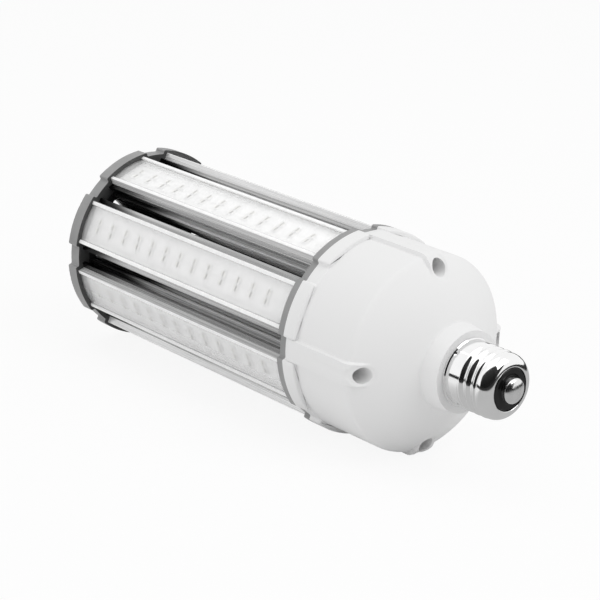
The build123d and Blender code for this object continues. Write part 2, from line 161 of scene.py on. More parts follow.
class LampSizes(bpy.types.PropertyGroup):
    """Sizes of the lamp's visible pieces."""

    edge_round: length("Edge round", 0.12, "Rounding of the strips' long edges")
    rim_round: length("Rim round", 0.2, "Rounding of the cap's and the ring's edges")
    floor_top: length("Floor radius", 36.2, "Radius of the strips' floors")
    rail_middle: length("Rail middle", 9.0, "Distance of the rails' middle from a strip's middle")
    board_half: length("Board half width", 7.8, "Half the width of an LED board")
    board_thickness: length("Board thickness", 1.0, "Thickness of an LED board")
    board_gap: length("Board end gap", 0.6, "Gap at each end of an LED board")
    led_pitch: length("LED pitch", 9.27, "Distance between LEDs along a board")
    led_shift: length("LED shift", 3.6, "Shift of the LEDs towards the cap")
    led_rows: length("LED row gap", 3.6, "Distance between the two rows of LEDs")
    led_size: length("LED size", 3.0, "Side of an LED package")
    led_height: length("LED height", 0.65, "Height of an LED package")
    led_count: bpy.props.IntProperty(
        name="LEDs in a row", description="Number of LEDs in each row", default=13, min=1
    )
    tube_wall: length("Tube wall", 1.2, "Wall of the core tube")
    recess_radius: length("Recess radius", 39.8, "Radius between the lobes")
    lobe_radius: length("Lobe radius", 41.5, "Radius over the lobes")
    lobe_round: length("Lobe round", 0.8, "Rounding of the lobes' corners")
    lobe_half_angle: bpy.props.FloatProperty(
        name="Lobe half angle",
        description="Half the angle that a lobe takes up",
        default=math.radians(16.1),
        subtype="ANGLE",
    )
    flange_length: length("Flange length", 6.2, "Length of the housing's lobed flange")
    flange_round: length("Flange round", 0.9, "Rounding of the flange's edge")
    body_radius: length("Body radius", 39.5, "Radius of the housing's straight side")
    housing_wall: length("Housing wall", 2.2, "Wall of the housing")
    dome_radius: length("Dome radius", 52.0, "Radius of the housing's dome")
    dome_offset: length("Dome offset", 0.9, "Distance from the end ring to the dome's centre")
    shoulder_round: length("Shoulder round", 3.5, "Rounding between the side and the dome")
    neck_radius: length("Neck radius", 16.2, "Radius of the neck behind the screw base")
    neck_round: length("Neck round", 2.4, "Rounding between the dome and the neck")
    rib_height: length("Rib height", 1.5, "Height of a rib over the housing's side")
    rib_half: length("Rib half width", 4.5, "Half the width of a rib")
    rib_soft: length("Rib slope", 0.7, "Width over which a rib falls to the side")
    rib_end: length("Rib end", 37.4, "Radius at which a rib starts to sink into the dome")
    rib_fade: length("Rib fade", 33.6, "Radius at which a rib has sunk into the dome")
    post_radius: length("Post radius", 4.5, "Radius of the posts round the screw wells")
    screw_hole_radius: length("Screw hole radius", 1.6, "Radius of the holes under the wells")
    plug_bore: length("Plug bore", 8.6, "Radius of the bore through the plug")
    well_radius: length("Well radius", 3.25, "Radius of a screw well")
    well_circle: length("Well circle", 35.8, "Radius on which the screw wells lie")
    well_floor: length("Well floor", 4.5, "Thickness under a well's screw")
    well_lip: length("Well lip", 0.8, "Width of the rounded lip of a well")
    well_dip: length("Well dip", 0.35, "Depth of the rounded lip of a well")
    collar_radius: length("Collar radius", 13.15, "Radius of the shell's collar and thread")
    root_radius: length("Thread root radius", 12.25, "Radius of the thread's roots")
    thread_pitch: length("Thread pitch", 3.629, "Pitch of the screw thread")
    thread_start: length("Thread start", 7.0, "Distance from the neck to the thread")
    thread_end: length("Thread end", 16.7, "Distance from the neck to the thread's end")
    thread_fade: length("Thread fade", 1.3, "Length over which the thread rises and sinks")
    nose_radius: length("Nose radius", 12.9, "Radius of the shell's rounded nose")
    nose_hole: length("Nose hole", 8.25, "Radius of the hole in the shell's nose")
    punch_depth: length("Punch depth", 0.5, "Depth of the punches that hold the shell")
    punch_radius: length("Punch radius", 1.1, "Radius of the punches that hold the shell")
    punch_place: length("Punch place", 1.9, "Distance from the neck to the punches")
    lip_radius: length("Lip radius", 13.55, "Radius of the shell's flared lip")
    shell_thickness: length("Shell thickness", 0.45, "Thickness of the screw shell")
    contact_radius: length("Contact radius", 5.0, "Radius of the centre contact")


class LampColours(bpy.types.PropertyGroup):
    """Colours of the lamp's finishes."""

    housing: grey("Housing", 0.86, "Glossy moulded plastic of the driver housing")
    paint: grey("Paint", 0.28, "Satin paint of the cap and the end ring")
    # Painted light and shade: the legs' light grey and the ledges' darker grey stand in for how light
    # falls in the channels of one aluminium extrusion
    aluminium: grey("Aluminium", 0.95, "Bright extruded strips")
    ledge: grey("Ledge", 0.47, "Drawn ledges beside the rails")
    rail: grey("Rail", 0.92, "Satin rails that hold the covers")
    board: grey("Board", 0.94, "White solder resist of the LED boards")
    package: grey("Package", 0.9, "Moulded body of an LED")
    phosphor: grey("Phosphor", 0.76, "Phosphor window of an LED")
    split: grey("Split", 0.04, "Dark line between an LED's two contacts")
    cover: grey("Cover", 0.93, "Clear cover of a strip")
    # Painted shade: the core tube is nearly black, standing in for the shade deep between the strips
    core: grey("Core", 0.03, "Dark finish of the core tube")
    liner: grey("Liner", 0.02, "Matt plate behind the strips")
    # Painted shade: the cap's inside is darkened to stand in for the shade that falls in it
    inside: grey("Cap inside", 0.06, "Unpainted dark inside of the cap")
    nickel: grey("Nickel", 0.92, "Bright plated screw shell")
    insulator: grey("Insulator", 0.005, "Glossy black insulator")
    contact: grey("Contact", 0.82, "Tinned centre contact")
    steel: grey("Steel", 0.4, "Plated screws")


# ---- Mesh helpers ----


class Outline:
    """A line drawn in the half plane through the lamp's axis, from which a piece is spun."""

    def __init__(self, along, out):
        self.bm = bmesh.new()
        self.tip = self.bm.verts.new((along, 0, out))
        self.first = self.tip

    def line(self, along, out, parts=1):
        """Draw a straight line, in equal parts."""
        start = self.tip.co.copy()
        end = Vector((along, 0, out))
        for n in range(parts):
            point = self.bm.verts.new(start.lerp(end, (n + 1) / parts))
            self.bm.edges.new((self.tip, point))
            self.tip = point

    def arc(self, along, out, degrees, parts):
        """Turn about a centre: from outwards towards the base is positive."""
        made = bmesh.ops.spin(
            self.bm,
            geom=[self.tip],
            cent=(along, 0, out),
            axis=(0, 1, 0),
            angle=math.radians(degrees),
            steps=parts,
        )
        self.tip = last_vert(made)

    def close(self):
        """Join the line's end to its start."""
        self.bm.edges.new((self.tip, self.first))

    def spin(self, steps):
        """Spin the line once round the axis, and give its mesh."""
        bmesh.ops.spin(
            self.bm,
            geom=self.bm.verts[:] + self.bm.edges[:],
            cent=(0, 0, 0),
            axis=(1, 0, 0),
            angle=math.tau,
            steps=steps,
            use_merge=True,
        )
        bmesh.ops.remove_doubles(self.bm, verts=self.bm.verts, dist=WELD)
        return self.bm


def strip_turn(number):
    """Turn at which a strip lies."""
    return (number - 0.5) * STRIP_PITCH


def turned(turn):
    """Turn about the lamp's axis that takes straight up to a turn."""
    return Matrix.Rotation(math.radians(turn), 4, "X")


def turn_of(point):
    """Turn of a point round the axis, in degrees."""
    return math.degrees(math.atan2(-point.y, point.z))


def smooth_step(low, high, value):
    """0 below low, 1 above high and a smooth rise between them."""
    share = min(max((value - low) / (high - low), 0), 1)
    return share * share * (3 - 2 * share)


def last_vert(made):
    """The end of what a spin has drawn."""
    return next(v for v in made["geom_last"] if isinstance(v, bmesh.types.BMVert))


def bevelled(bm, geom, offset, segments=2, affect="EDGES", **more):
    """Round some edges or corners."""
    bmesh.ops.bevel(
        bm,
        geom=geom,
        offset=offset,
        affect=affect,
        segments=segments,
        profile=0.5,
        material=-1,
        **more,
    )


def mesh_of(bm, name, place=AXIS_PLACE):
    """Make a finished mesh, in its place and with its faces outwards."""
    bmesh.ops.remove_doubles(bm, verts=bm.verts, dist=WELD)
    bmesh.ops.recalc_face_normals(bm, faces=bm.faces)
    bmesh.ops.transform(bm, matrix=place, verts=bm.verts)
    mesh = bpy.data.meshes.new(name)
    bm.to_mesh(mesh)
    bm.free()
    return mesh


def piece_of(mesh, slot, node, *materials):
    """Put a mesh in the scene as a piece of the lamp that stands for a CAD node."""
    piece = bpy.data.objects.new(mesh.name, mesh)
    bpy.context.scene.collection.objects.link(piece)
    mesh.shade_smooth()
    mesh.set_sharp_from_angle(angle=SMOOTH_ANGLE)
    for material in materials:
        mesh.materials.append(material)
    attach(piece, "root")
    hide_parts(node)
    return piece


def node_mesh(node):
    """Copy of a CAD node's mesh, merged, with its flat faces made whole."""
    bm = bmesh.new()
    bm.from_mesh(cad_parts[node].data)
    bmesh.ops.remove_doubles(bm, verts=bm.verts, dist=WELD)
    bmesh.ops.dissolve_limit(
        bm, angle_limit=FLAT_ANGLE, verts=bm.verts, edges=bm.edges, use_dissolve_boundaries=False
    )
    return bm


def node_piece(node, name, slot, material):
    """A piece in the shape of its CAD node."""
    return piece_of(mesh_of(node_mesh(node), name, Matrix()), slot, node, material)


def flat_faces(piece):
    """Keep a piece's flat faces flat in the shading."""
    shading = piece.modifiers.new("flat_faces", "WEIGHTED_NORMAL")
    shading.keep_sharp = True


def rounded(piece, width):
    """Round a piece's sharp edges."""
    bevel = piece.modifiers.new("rounded_edges", "BEVEL")
    bevel.width = width
    bevel.segments = 2
    bevel.limit_method = "ANGLE"
    bevel.angle_limit = ROUND_ANGLE
    flat_faces(piece)


def combined(mesh, other, operation):
    """Combine two closed meshes, and give the result."""
    scene = bpy.context.scene
    base = bpy.data.objects.new("base", mesh)
    tool = bpy.data.objects.new("tool", other)
    scene.collection.objects.link(base)
    scene.collection.objects.link(tool)
    modifier = base.modifiers.new("combined", "BOOLEAN")
    modifier.object = tool
    modifier.operation = operation
    modifier.solver = "MANIFOLD"
    evaluated = base.evaluated_get(bpy.context.evaluated_depsgraph_get())
    result = bpy.data.meshes.new_from_object(evaluated)
    bpy.data.objects.remove(base)
    bpy.data.objects.remove(tool)
    if not result.polygons:
        raise RuntimeError(f"the {operation.lower()} of {mesh.name} and {other.name} is empty")
    return result


def lay_coordinates(mesh, turn):
    """Give a strip's mesh a UV map: u along the lamp and v across the strip, in metres."""
    to_strip = turned(-turn) @ AXIS_PLACE.inverted()
    layer = mesh.uv_layers.new(name="along_across")
    for loop in mesh.loops:
        point = to_strip @ mesh.vertices[loop.vertex_index].co
        layer.data[loop.index].uv = (point.x, point.y)


# ---- Materials ----

SOCKET_PLACES = {"first": 0, "second": 1, "third": 2}

# Range of the noise that is spread from a pattern's low to its high value
NOISE_LOW = 0.3
NOISE_HIGH = 0.7
# Shared patterns: detail and roughness of their noise, and how far it is squeezed along each axis
PATTERNS = {
    "cloudy_tone": (4.0, 0.6, (1.0, 1.0, 1.0)),
    "lengthwise_streaks": (3.0, 0.65, (0.012, 1.0, 1.0)),
    "fine_grain": (2.0, 0.5, (1.0, 1.0, 1.0)),
}
MOULDED = {"fineness": 900.0}
DARK = {"cloud": (90.0, 0.8, 1.2), "fineness": 2000.0}
PLATED = {"metallic": 1.0, "fineness": 700.0, "rough_spread": 0.3}
DRAWN = {
    "cloud": (50.0, 0.97, 1.02),
    "pattern": "lengthwise_streaks",
    "fineness": 900.0,
    "rough_spread": 0.4,
    "bump": 0.7,
    "bump_distance": 0.06 * MM,
}

# Each finish: the name of its colour, its roughness, and what else differs from a plain finish
FINISHES = {
    "housing_plastic": (
        "housing",
        0.26,
        {**MOULDED, "cloud": (35.0, 0.985, 1.01), "rough_spread": 0.2, "bump": 0.05},
    ),
    "satin_paint": (
        "paint",
        0.42,
        {"cloud": (80.0, 0.93, 1.07), "fineness": 2600.0, "rough_spread": 0.2, "bump": 0.25},
    ),
    "cap_inside": ("inside", 0.5, {"bump": 0.2}),
    "liner_finish": ("liner", 0.6, {**DARK, "bump": 0.3}),
    "core_finish": ("core", 0.5, {**DARK, "bump": 0.2}),
    # Painted light and shade: the strips are one aluminium, but their legs and rail sides get a light,
    # part-matt grey and their ledges a darker, more metallic one, for how light falls in the channels
    "leg_aluminium": (
        "aluminium",
        0.25,
        {**DRAWN, "metallic": 0.3, "streaks": (380.0, 0.6, 1.05), "sprayed": True},
    ),
    "ledge_aluminium": (
        "ledge",
        0.25,
        {**DRAWN, "metallic": 0.85, "streaks": (380.0, 0.5, 1.4), "sprayed": True},
    ),
    "rail_side_aluminium": ("rail", 0.25, {**DRAWN, "metallic": 0.3, "streaks": (380.0, 0.62, 1.05)}),
    "rail_satin": ("rail", 0.35, {"bump": 0.1}),
    "board_resist": ("board", 0.38, {"bump": 0.1}),
    "led_body": ("package", 0.35, {}),
    "led_phosphor": ("phosphor", 0.25, {"Coat_Weight": 0.4}),
    "led_split": ("split", 0.4, {}),
    "clear_cover": (
        "cover",
        0.08,
        {**DRAWN, "cloud": (60.0, 0.98, 1.02), "rough_spread": 0.3, "bump": 0.0, "Alpha": 0.1},
    ),
    "plated_steel": (
        "steel",
        0.3,
        {"metallic": 1.0, "cloud": (300.0, 0.9, 1.05), "fineness": 1500.0, "bump": 0.2},
    ),
    "nickel_plate": ("nickel", 0.09, {**PLATED, "cloud": (120.0, 0.97, 1.02), "bump": 0.02}),
    "contact_tin": ("contact", 0.2, {**PLATED, "cloud": (400.0, 0.93, 1.03), "bump": 0.08}),
    "black_insulator": (
        "insulator",
        0.15,
        {**MOULDED, "cloud": (200.0, 0.8, 1.2), "bump": 0.03, "Specular_IOR_Level": 0.3},
    ),
}
# Painted shade: the darkest share of the strips' colour near the cap
CAP_SHADE_DARKEST = 0.02
TRACKS = (-5.9 * MM, 0.0, 5.9 * MM)
TRACK_HALF = 0.45 * MM
TRACK_EDGE = 0.6 * MM
TRACK_TONE = (0.93, 0.93, 0.93, 1)


def fill_in(tree, node, values):
    """Give a node its settings and its inputs, each a value or the output that is linked to it."""
    for name, value in values.items():
        if hasattr(node, name):
            setattr(node, name, value)
            continue
        socket = node.inputs[SOCKET_PLACES.get(name, name.replace("_", " "))]
        if isinstance(value, bpy.types.NodeSocket):
            tree.links.new(value, socket)
        else:
            socket.default_value = value


def node_in(tree, kind, place, **values):
    """Add a node to a tree, with its settings and inputs by name."""
    node = tree.nodes.new(kind)
    node.location = place
    fill_in(tree, node, values)
    return node


def maths_in(tree, place, operation, *inputs, kind="ShaderNodeMath", output="Value"):
    """Calculate with up to three inputs, and give the result."""
    node = node_in(tree, kind, place, operation=operation, **dict(zip(SOCKET_PLACES, inputs)))
    return node.outputs[output]


def range_in(tree, place, value, low, high, at_low, at_high, kind="SMOOTHSTEP"):
    """Carry a value from one range to another, and give the result."""
    ends = {"From_Min": low, "From_Max": high, "To_Min": at_low, "To_Max": at_high}
    node = node_in(tree, "ShaderNodeMapRange", place, interpolation_type=kind, Value=value, **ends)
    return node.outputs["Result"]


def scaled_in(tree, place, colour, scale):
    """Make a colour lighter or darker, and give the result."""
    node = node_in(tree, "ShaderNodeVectorMath", place, operation="SCALE", first=colour, Scale=scale)
    return node.outputs["Vector"]


def object_place(tree, place):
    """The piece's own coordinates."""
    return node_in(tree, "ShaderNodeTexCoord", place).outputs["Object"]


def pattern_group(name):
    """Shared group: a noise on the piece's own coordinates, spread from a low to a high value."""
    tree = bpy.data.node_groups.get(name)
    if tree:
        return tree
    detail, roughness, squeeze = PATTERNS[name]
    tree = bpy.data.node_groups.new(name, "ShaderNodeTree")
    for socket, default in (("Fineness", 1500.0), ("Low", 0.0), ("High", 1.0)):
        made = tree.interface.new_socket(name=socket, in_out="INPUT", socket_type="NodeSocketFloat")
        made.default_value = default
    tree.interface.new_socket(name="Value", in_out="OUTPUT", socket_type="NodeSocketFloat")
    start = node_in(tree, "NodeGroupInput", (-900, 0)).outputs
    place = object_place(tree, (-900, -250))
    squeezed = node_in(tree, "ShaderNodeMapping", (-700, -250), Vector=place, Scale=squeeze)
    noise = node_in(tree, "ShaderNodeTexNoise", (-450, -100), Detail=detail, Roughness=roughness)
    fill_in(tree, noise, {"Vector": squeezed.outputs["Vector"], "Scale": start["Fineness"]})
    ends = (NOISE_LOW, NOISE_HIGH, start["Low"], start["High"])
    spread = range_in(tree, (-200, -100), noise.outputs["Fac"], *ends, "LINEAR")
    node_in(tree, "NodeGroupOutput", (100, 0), Value=spread)
    return tree


def pattern_in(tree, name, place, fineness, low=0.0, high=1.0):
    """Place a shared pattern in a material, with its own values, and give its output."""
    values = {"node_tree": pattern_group(name), "Fineness": fineness, "Low": low, "High": high}
    return node_in(tree, "ShaderNodeGroup", place, **values).outputs["Value"]


def near_cap_shade_mask(tree):
    """Painted shade and reflection: 1 on the lit metal, and nearly 0 near the cap, where the channels
    are darkened to stand in for the black cap they mirror.
    """
    place = object_place(tree, (-1600, 800))
    start = (-CAP[0].x, 0, -AXIS_Z)
    level = node_in(tree, "ShaderNodeMapping", (-1400, 800), Vector=place, Location=start)
    level = level.outputs["Vector"]
    along = node_in(tree, "ShaderNodeSeparateXYZ", (-1200, 900), Vector=level).outputs["X"]
    vectors = "ShaderNodeVectorMath"
    flat = maths_in(tree, (-1200, 700), "MULTIPLY", level, (0, 1, 1), kind=vectors, output="Vector")
    radius = maths_in(tree, (-1000, 700), "LENGTH", flat, kind=vectors)
    edge = maths_in(tree, (-800, 800), "MULTIPLY_ADD", radius, CAP_SHADE_SLOPE, along)
    black, unshaded = CAP_SHADE_REACH - CAP_SHADE_SOFT, CAP_SHADE_REACH + CAP_SHADE_SOFT
    return range_in(tree, (-600, 800), edge, black, unshaded, CAP_SHADE_DARKEST, 1.0)


def finish_of(
    name,
    colour,
    roughness,
    metallic=0.0,
    cloud=(300.0, 0.93, 1.05),
    pattern="fine_grain",
    fineness=1800.0,
    rough_spread=0.15,
    bump=0.0,
    bump_distance=0.02 * MM,
    streaks=None,
    sprayed=False,
    **shader,
):
    """A material with a cloudy colour, an uneven roughness and a fine bump."""
    material = bpy.data.materials.get(name)
    if material:
        return material
    material = bpy.data.materials.new(name)
    material.use_nodes = True
    tree = material.node_tree
    tone = pattern_in(tree, "cloudy_tone", (-900, 300), *cloud)
    shade = scaled_in(tree, (-700, 300), tuple(colour), tone)
    if streaks:
        lines = pattern_in(tree, "lengthwise_streaks", (-700, 550), *streaks)
        shade = scaled_in(tree, (-500, 400), shade, lines)
    # Painted shade and reflection: darker towards the cap, inside the channels
    if sprayed:
        shade = scaled_in(tree, (-300, 500), shade, near_cap_shade_mask(tree))
    low = roughness * (1 - rough_spread)
    high = roughness * (1 + rough_spread)
    marks = pattern_in(tree, pattern, (-600, 0), fineness, low, high)
    surface = {"Base_Color": shade, "Roughness": marks, "Metallic": metallic, **shader}
    if bump:
        relief = pattern_in(tree, pattern, (-600, -300), fineness)
        height = {"Height": relief, "Strength": bump, "Distance": bump_distance}
        surface["Normal"] = node_in(tree, "ShaderNodeBump", (-300, -300), **height).outputs["Normal"]
    fill_in(tree, tree.nodes["Principled BSDF"], surface)
    return material


def finish(name, colours):
    """One of the lamp's finishes, in the colours that are set."""
    colour, roughness, more = FINISHES[name]
    return finish_of(name, getattr(colours, colour), roughness, **more)


def board_finish(colours):
    """White solder resist over copper: the tracks show as faint raised bands."""
    if "board_resist" in bpy.data.materials:
        return bpy.data.materials["board_resist"]
    material = finish("board_resist", colours)
    tree = material.node_tree
    base = tree.nodes["Principled BSDF"].inputs["Base Color"]
    plain = base.links[0].from_socket
    place = node_in(tree, "ShaderNodeUVMap", (-1400, 600), uv_map="along_across").outputs["UV"]
    across = node_in(tree, "ShaderNodeSeparateXYZ", (-1200, 600), Vector=place).outputs["Y"]
    track = 0.0
    for middle in TRACKS:
        away = maths_in(tree, (-1000, 700), "SUBTRACT", across, middle)
        away = maths_in(tree, (-850, 700), "ABSOLUTE", away)
        band = range_in(tree, (-700, 700), away, TRACK_HALF, TRACK_EDGE, 1.0, 0.0)
        track = maths_in(tree, (-500, 700), "MAXIMUM", track, band)
    shade = node_in(tree, "ShaderNodeMix", (-250, 500), data_type="RGBA", blend_type="MULTIPLY")
    fill_in(tree, shade, {"Factor": track, "A": plain, "B": TRACK_TONE})
    tree.links.new(shade.outputs["Result"], base)
    return material


# ---- Operators ----


class PieceOperator:
    """Shared by the operators: each reads the lamp's sizes and colours."""

    bl_options = {"REGISTER", "UNDO"}

    def execute(self, context):
        self.build(context.scene.lamp_sizes, context.scene.lamp_colours)
        return {"FINISHED"}


class LAMP_OT_end_cap(PieceOperator, bpy.types.Operator):
    """Build the painted end cap and the dark plate behind it"""

    bl_idname = "lamp.end_cap"
    bl_label = "End Cap"

    def build(self, sizes, colours):
        bm = node_mesh("end_cap")
        bm.normal_update()
        # Painted shade: the faces that look into the cap and its back get the dark inside finish,
        # standing in for the shade there
        for face in bm.faces:
            middle = face.calc_center_median()
            out = Vector((0, middle.y, middle.z - AXIS_Z))
            inwards = face.normal.dot(out.normalized()) < -FACING
            back = out.length < sizes.floor_top and face.normal.x > FACING
            if station(middle.x) > INSIDE_DEPTH and (inwards or back):
                face.material_index = 1
        mesh = mesh_of(bm, "cap_shell", Matrix())
        inside = finish("cap_inside", colours)
        cap = piece_of(mesh, "grey_paint", "end_cap", finish("satin_paint", colours), inside)
        rounded(cap, sizes.rim_round)
        liner = node_piece("cap_liner", "liner_plate", "black_plate", finish("liner_finish", colours))
        rounded(liner, sizes.edge_round)


class LAMP_OT_end_ring(PieceOperator, bpy.types.Operator):
    """Build the painted ring between the strips and the housing"""

    bl_idname = "lamp.end_ring"
    bl_label = "End Ring"

    def build(self, sizes, colours):
        ring = node_piece("end_ring", "ring_plate", "grey_paint", finish("satin_paint", colours))
        rounded(ring, sizes.rim_round)


class LAMP_OT_strips(PieceOperator, bpy.types.Operator):
    """Build the eight extruded heatsink strips"""

    bl_idname = "lamp.strips"
    bl_label = "Heatsink Strips"

    def build(self, sizes, colours):
        names = ("leg_aluminium", "rail_satin", "ledge_aluminium", "rail_side_aluminium")
        finishes = [finish(name, colours) for name in names]
        for number in STRIPS:
            bm = node_mesh(f"heatsink_{number}")
            along = [
                e
                for e in bm.edges
                if abs((e.verts[0].co - e.verts[1].co).normalized().x) > ALONG
                and len(e.link_faces) == 2
                and e.calc_face_angle(0) > ROUND_ANGLE
            ]
            bevelled(bm, along, sizes.edge_round, clamp_overlap=False)
            to_strip = turned(-strip_turn(number)) @ AXIS_PLACE.inverted()
            # Painted light and shade: faces of the one extrusion get lighter or darker finishes by
            # their height, for how light falls on them
            for face in bm.faces:
                middle = to_strip @ face.calc_center_median()
                height = middle.z - sizes.floor_top
                inner = abs(middle.y) < sizes.rail_middle
                if height > RAIL_TOP or height > LEDGE_TOP and inner:
                    face.material_index = 1
                elif height > LEDGE_TOP:
                    face.material_index = 3
                elif height > -FLOOR_DEPTH and abs(middle.y) > sizes.rail_middle:
                    face.material_index = 2
            mesh = mesh_of(bm, f"strip_{number}", Matrix())
            flat_faces(piece_of(mesh, "strip_aluminium", f"heatsink_{number}", *finishes))


class LAMP_OT_boards(PieceOperator, bpy.types.Operator):
    """Build the white LED boards"""

    bl_idname = "lamp.boards"
    bl_label = "LED Boards"

    def build(self, sizes, colours):
        size = (STRIP_END - CAP_END - 2 * sizes.board_gap, 2 * sizes.board_half, sizes.board_thickness)
        middle = ((CAP_END + STRIP_END) / 2, 0, sizes.floor_top + sizes.board_thickness / 2)
        for number in STRIPS:
            turn = strip_turn(number)
            bm = bmesh.new()
            bmesh.ops.create_cube(bm, size=1)
            bmesh.ops.scale(bm, vec=size, verts=bm.verts)
            bmesh.ops.translate(bm, vec=middle, verts=bm.verts)
            bevelled(bm, bm.edges[:], FINE_ROUND)
            mesh = mesh_of(bm, f"board_{number}", AXIS_PLACE @ turned(turn))
            lay_coordinates(mesh, turn)
            piece_of(mesh, "board_white", f"led_board_{number}", board_finish(colours))


def led_package(sizes):
    """One LED: a moulded body with its phosphor window."""
    bm = bmesh.new()
    bmesh.ops.create_cube(bm, size=1)
    bmesh.ops.scale(bm, vec=(sizes.led_size, sizes.led_size, sizes.led_height), verts=bm.verts)
    bmesh.ops.translate(bm, vec=(0, 0, sizes.led_height / 2), verts=bm.verts)
    upright = [e for e in bm.edges if abs(e.verts[0].co.z - e.verts[1].co.z) > WELD]
    bevelled(bm, upright, LED_CORNER)
    top = max(bm.faces, key=lambda f: f.calc_center_median().z)
    bmesh.ops.inset_individual(bm, faces=[top], thickness=LED_RIM, depth=0)
    bmesh.ops.inset_individual(bm, faces=[top], thickness=LED_WINDOW_DEPTH, depth=-LED_WINDOW_DEPTH)
    top.material_index = 1
    return bm


class LAMP_OT_leds(PieceOperator, bpy.types.Operator):
    """Build the LEDs, two rows on each board"""

    bl_idname = "lamp.leds"
    bl_label = "LEDs"

    def build(self, sizes, colours):
        middle = (CAP_END + STRIP_END) / 2 - sizes.led_shift
        first = middle - (sizes.led_count - 1) / 2 * sizes.led_pitch
        seat = sizes.floor_top + sizes.board_thickness
        finishes = [finish(name, colours) for name in ("led_body", "led_phosphor", "led_split")]
        for number in STRIPS:
            bm = bmesh.new()
            for row, split in LED_ROWS:
                for n in range(sizes.led_count):
                    spot = (first + n * sizes.led_pitch, row * sizes.led_rows / 2, seat)
                    self.add_led(bm, sizes, Matrix.Translation(spot), row, split)
            mesh = mesh_of(bm, f"leds_{number}", AXIS_PLACE @ turned(strip_turn(number)))
            piece_of(mesh, "led_phosphor", f"led_chips_{number}", *finishes)

    def add_led(self, bm, sizes, place, row, split):
        """Add an LED and the dark line across its window, moved towards the board's middle."""
        led = led_package(sizes)
        bmesh.ops.transform(led, matrix=place, verts=led.verts)
        mesh = bpy.data.meshes.new("led")
        led.to_mesh(mesh)
        led.free()
        bm.from_mesh(mesh)
        bpy.data.meshes.remove(mesh)
        bar = bmesh.ops.create_cube(bm, size=1)["verts"]
        bmesh.ops.scale(bm, vec=(split, sizes.led_size - LED_SPLIT_GAP, LED_SPLIT_HEIGHT), verts=bar)
        offset = (row * -LED_SPLIT_SHIFT, 0, sizes.led_height - LED_WINDOW_DEPTH)
        bmesh.ops.transform(bm, matrix=place @ Matrix.Translation(offset), verts=bar)
        for face in {f for v in bar for f in v.link_faces}:
            face.material_index = 2


class LAMP_OT_covers(PieceOperator, bpy.types.Operator):
    """Build the clear covers of the strips"""

    bl_idname = "lamp.covers"
    bl_label = "Clear Covers"

    def build(self, sizes, colours):
        for number in STRIPS:
            clear = finish("clear_cover", colours)
            cover = node_piece(f"strip_cover_{number}", f"cover_{number}", "clear_cover", clear)
            cover.visible_shadow = False


class LAMP_OT_core(PieceOperator, bpy.types.Operator):
    """Build the tube along the hollow core"""

    bl_idname = "lamp.core"
    bl_label = "Core Tube"

    def build(self, sizes, colours):
        start = station(TUBE[0].x)
        end = station(TUBE[1].x)
        outer = (TUBE[1].z - TUBE[0].z) / 2
        inner = outer - sizes.tube_wall
        chamfer = 0.2 * MM
        line = Outline(start, inner + chamfer)
        line.line(start, outer - chamfer)
        line.line(start + chamfer, outer)
        line.line(end - chamfer, outer, 8)
        line.line(end, outer - chamfer)
        line.line(end, inner + chamfer)
        line.line(end - chamfer, inner)
        line.line(start + chamfer, inner, 8)
        line.close()
        mesh = mesh_of(line.spin(96), "core")
        # Painted shade: the tube's near black stands in for the shade deep between the strips
        piece_of(mesh, "tube_aluminium", "core_tube", finish("core_finish", colours))


class LAMP_OT_screws(PieceOperator, bpy.types.Operator):
    """Build the cap's, the ring's and the housing's screws"""

    bl_idname = "lamp.screws"
    bl_label = "Screws"

    def build(self, sizes, colours):
        for node in ("cap_screws", "ring_screws", "housing_screws"):
            screws = node_piece(node, "steel_" + node, "screw_steel", finish("plated_steel", colours))
            rounded(screws, FINE_ROUND)


def lobed_plate(sizes, start, end):
    """Closed disc with eight lobes and a rounded edge towards the base."""
    bm = bmesh.new()
    lobe = math.degrees(sizes.lobe_half_angle)
    gap = STRIP_PITCH / 2 - lobe
    middle = Vector((start, 0, 0))
    tip = bm.verts.new((start, 0, sizes.recess_radius))
    corners = []

    def sweep(vert, degrees, steps):
        angle = math.radians(degrees)
        return last_vert(
            bmesh.ops.spin(bm, geom=[vert], cent=middle, axis=(1, 0, 0), angle=angle, steps=steps)
        )

    def step_to(vert, radius):
        point = bm.verts.new(middle + (vert.co - middle).normalized() * radius)
        bm.edges.new((vert, point))
        corners.extend((vert, point))
        return point

    for _ in STRIPS:
        tip = sweep(tip, gap, 3)
        tip = step_to(tip, sizes.lobe_radius)
        tip = sweep(tip, 2 * lobe, 20)
        tip = step_to(tip, sizes.recess_radius)
        tip = sweep(tip, gap, 3)
    bmesh.ops.remove_doubles(bm, verts=bm.verts, dist=WELD)
    corners = [v for v in corners if v.is_valid]
    bmesh.ops.contextual_create(bm, geom=bm.edges[:])
    bevelled(bm, corners, sizes.lobe_round, segments=5, affect="VERTICES")
    made = bmesh.ops.extrude_face_region(bm, geom=bm.faces[:])["geom"]
    lifted = [v for v in made if isinstance(v, bmesh.types.BMVert)]
    bmesh.ops.translate(bm, vec=(end - start, 0, 0), verts=lifted)
    rim = [e for e in made if isinstance(e, bmesh.types.BMEdge)]
    bevelled(bm, rim, sizes.flange_round, segments=4, clamp_overlap=False)
    return bm


def housing_line(sizes, inset, start, end):
    """Outline of the housing's side, shoulder, dome and neck, moved in by an inset."""
    side = sizes.body_radius - inset
    neck = sizes.neck_radius - inset
    dome = sizes.dome_radius - inset
    shoulder = sizes.shoulder_round - inset
    centre = RING_END + sizes.dome_offset
    corner_out = side - shoulder
    corner = centre + math.sqrt((dome - shoulder) ** 2 - corner_out**2)
    lean = math.degrees(math.atan2(corner - centre, corner_out))
    crease_out = neck + sizes.neck_round
    crease = centre + math.sqrt((dome + sizes.neck_round) ** 2 - crease_out**2)
    neck_lean = math.degrees(math.atan2(crease - centre, crease_out))
    line = Outline(start, 0)
    line.line(start, side)
    line.line(corner, side, 12)
    line.arc(corner, corner_out, lean, 34)
    line.arc(centre, 0, neck_lean - lean, 30)
    line.arc(crease, crease_out, neck_lean - 90, 8)
    line.line(end, neck, 4)
    return line


